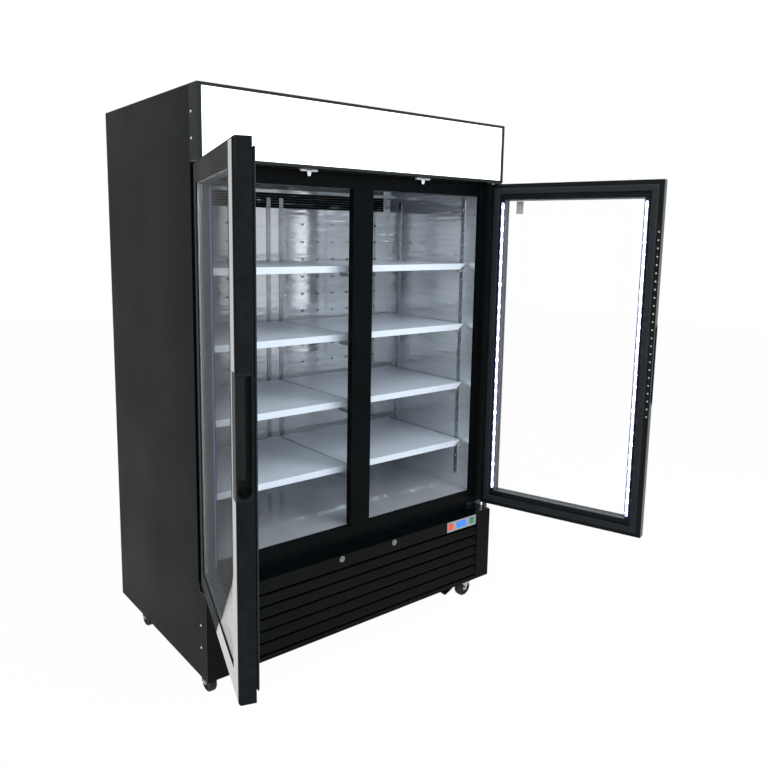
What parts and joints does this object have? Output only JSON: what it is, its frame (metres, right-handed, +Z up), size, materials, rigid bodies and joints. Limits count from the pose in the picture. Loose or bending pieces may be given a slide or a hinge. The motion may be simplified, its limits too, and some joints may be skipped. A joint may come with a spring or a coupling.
{
  "type": "glass door merchandiser refrigerator",
  "caption": "Upright display refrigerator with hinged glass doors standing open, lit header, folded shelves, a louvred base panel over a machine bay, and swivelling braked casters.",
  "frame": {"origin": "on the floor, under the middle of the whole object's box with both doors open as drawn", "axes": "+X to the right as seen from the front, +Y to the back, +Z up"},
  "size_m": [1.809, 1.4296, 2.062],
  "materials": {
    "outer_sheet": "satin",
    "steel_sheet": "satin",
    "mirror_steel": "polished",
    "foam": "matte",
    "frame_plastic": "gloss",
    "zinc": "satin",
    "shelf_white": "satin",
    "black_plastic": "satin",
    "white_plastic": "satin",
    "sign_acrylic": "gloss",
    "fins": "satin",
    "glass_clear": "polished",
    "gasket_rubber": "matte",
    "red_plastic": "satin",
    "green_plastic": "satin",
    "blue_plastic": "satin",
    "wheel_rubber": "matte",
    "chromed": "polished"
  },
  "bodies": {
    "cabinet": {"side_panels": "outer_sheet", "back_and_top_panels": "zinc", "insulation": "foam", "liner": "mirror_steel", "front_frame": "frame_plastic", "shelf_posts": "steel_sheet", "shelf_clips": "black_plastic", "shelves": "shelf_white", "air_duct_panels": "mirror_steel", "air_grille": "black_plastic", "temperature_display": "blue_plastic", "evaporator_coil": "fins", "evaporator_motor": "zinc", "header_shell": "outer_sheet", "sign_panel": "sign_acrylic", "sign_lamps": "white_plastic", "side_screws": "chromed", "switch_housings": "white_plastic", "base_pan": "zinc", "base_front": "outer_sheet", "lower_panel": "outer_sheet", "control_plate": "steel_sheet", "lock_barrels": "chromed", "compressor": "outer_sheet", "condenser_coil": "outer_sheet", "fan_shroud": "zinc", "drain_pan": "zinc", "rear_grille": "outer_sheet", "power_inlet": "black_plastic", "hinge_brackets": "zinc", "caster_plates": "zinc"},
    "left_door": {"left_door_frame": "frame_plastic", "left_door_glass": "glass_clear", "left_door_gasket": "gasket_rubber", "left_door_lights": "white_plastic", "left_door_handle": "black_plastic"},
    "right_door": {"right_door_frame": "frame_plastic", "right_door_glass": "glass_clear", "right_door_gasket": "gasket_rubber", "right_door_lights": "white_plastic", "right_door_handle": "black_plastic"},
    "left_switch_lever_body": {"left_switch_lever": "white_plastic"},
    "right_switch_lever_body": {"right_switch_lever": "white_plastic"},
    "power_rocker_body": {"power_rocker": "red_plastic"},
    "lamp_rocker_body": {"lamp_rocker": "green_plastic"},
    "left_lock_cam_body": {"left_lock_cam": "chromed"},
    "right_lock_cam_body": {"right_lock_cam": "chromed"},
    "condenser_fan_body": {"condenser_fan": "black_plastic"},
    "evaporator_fan_body": {"evaporator_fan": "black_plastic"},
    "front_left_swivel": {"front_left_fork": "zinc"},
    "front_left_roller": {"front_left_wheel": "wheel_rubber"},
    "front_left_brake": {"front_left_pedal": "zinc"},
    "front_right_swivel": {"front_right_fork": "zinc"},
    "front_right_roller": {"front_right_wheel": "wheel_rubber"},
    "front_right_brake": {"front_right_pedal": "zinc"},
    "rear_left_swivel": {"rear_left_fork": "zinc"},
    "rear_left_roller": {"rear_left_wheel": "wheel_rubber"},
    "rear_left_brake": {"rear_left_pedal": "zinc"},
    "rear_right_swivel": {"rear_right_fork": "zinc"},
    "rear_right_roller": {"rear_right_wheel": "wheel_rubber"},
    "rear_right_brake": {"rear_right_pedal": "zinc"}
  },
  "joints": [
    {"name": "left_door_hinge", "type": "hinge", "parent": "cabinet", "child": "left_door", "pos_m": [-0.677, -0.06524, 0.506], "axis": [0, 0, 1], "range_deg": [-12, 108]},
    {"name": "right_door_hinge", "type": "hinge", "parent": "cabinet", "child": "right_door", "pos_m": [0.677, -0.06524, 0.506], "axis": [0, 0, -1], "range_deg": [-12, 108]},
    {"name": "left_lock_turn", "type": "hinge", "parent": "cabinet", "child": "left_lock_cam_body", "pos_m": [-0.13, -0.08524, 0.392], "axis": [0, 1, 0], "range_deg": [0, 90]},
    {"name": "right_lock_turn", "type": "hinge", "parent": "cabinet", "child": "right_lock_cam_body", "pos_m": [0.13, -0.08524, 0.392], "axis": [0, -1, 0], "range_deg": [0, 90]},
    {"name": "left_switch_swing", "type": "hinge", "parent": "cabinet", "child": "left_switch_lever_body", "pos_m": [-0.25, -0.03544, 1.8285], "axis": [1, 0, 0], "range_deg": [-12, 12], "stiffness_Nm_per_rad": 0.02},
    {"name": "right_switch_swing", "type": "hinge", "parent": "cabinet", "child": "right_switch_lever_body", "pos_m": [0.286, -0.03544, 1.8285], "axis": [1, 0, 0], "range_deg": [-12, 12], "stiffness_Nm_per_rad": 0.02},
    {"name": "power_rocker_tilt", "type": "hinge", "parent": "cabinet", "child": "power_rocker_body", "pos_m": [0.449, -0.08224, 0.38], "axis": [1, 0, 0], "range_deg": [-8, 8]},
    {"name": "lamp_rocker_tilt", "type": "hinge", "parent": "cabinet", "child": "lamp_rocker_body", "pos_m": [0.575, -0.08224, 0.38], "axis": [1, 0, 0], "range_deg": [-8, 8]},
    {"name": "condenser_fan_spin", "type": "hinge", "parent": "cabinet", "child": "condenser_fan_body", "pos_m": [-0.25, 0.08876, 0.237], "axis": [0, 1, 0], "continuous": true},
    {"name": "evaporator_fan_spin", "type": "hinge", "parent": "cabinet", "child": "evaporator_fan_body", "pos_m": [0, 0.31526, 1.821], "axis": [0, 0, 1], "continuous": true},
    {"name": "front_left_turn", "type": "hinge", "parent": "cabinet", "child": "front_left_swivel", "pos_m": [-0.636, -0.01624, 0.09], "axis": [0, 0, 1], "continuous": true},
    {"name": "front_left_roll", "type": "hinge", "parent": "front_left_swivel", "child": "front_left_roller", "pos_m": [-0.636, 0.01776, 0.0375], "axis": [-1, 0, 0], "continuous": true},
    {"name": "front_left_brake_press", "type": "hinge", "parent": "front_left_swivel", "child": "front_left_brake", "pos_m": [-0.636, 0.04776, 0.072], "axis": [-1, 0, 0], "range_deg": [0, 10]},
    {"name": "front_right_turn", "type": "hinge", "parent": "cabinet", "child": "front_right_swivel", "pos_m": [0.636, -0.01624, 0.09], "axis": [0, 0, 1], "continuous": true},
    {"name": "front_right_roll", "type": "hinge", "parent": "front_right_swivel", "child": "front_right_roller", "pos_m": [0.602, -0.01624, 0.0375], "axis": [0, -1, 0], "continuous": true},
    {"name": "front_right_brake_press", "type": "hinge", "parent": "front_right_swivel", "child": "front_right_brake", "pos_m": [0.572, -0.01624, 0.072], "axis": [0, -1, 0], "range_deg": [0, 10]},
    {"name": "rear_left_turn", "type": "hinge", "parent": "cabinet", "child": "rear_left_swivel", "pos_m": [-0.636, 0.53876, 0.09], "axis": [0, 0, 1], "continuous": true},
    {"name": "rear_left_roll", "type": "hinge", "parent": "rear_left_swivel", "child": "rear_left_roller", "pos_m": [-0.636, 0.57276, 0.0375], "axis": [-1, 0, 0], "continuous": true},
    {"name": "rear_left_brake_press", "type": "hinge", "parent": "rear_left_swivel", "child": "rear_left_brake", "pos_m": [-0.636, 0.60276, 0.072], "axis": [-1, 0, 0], "range_deg": [0, 10]},
    {"name": "rear_right_turn", "type": "hinge", "parent": "cabinet", "child": "rear_right_swivel", "pos_m": [0.636, 0.53876, 0.09], "axis": [0, 0, 1], "continuous": true},
    {"name": "rear_right_roll", "type": "hinge", "parent": "rear_right_swivel", "child": "rear_right_roller", "pos_m": [0.6301, 0.57224, 0.0375], "axis": [-0.9848, -0.1736, 0], "continuous": true},
    {"name": "rear_right_brake_press", "type": "hinge", "parent": "rear_right_swivel", "child": "rear_right_brake", "pos_m": [0.62489, 0.60179, 0.072], "axis": [-0.9848, -0.1736, 0], "range_deg": [0, 10]}
  ]
}
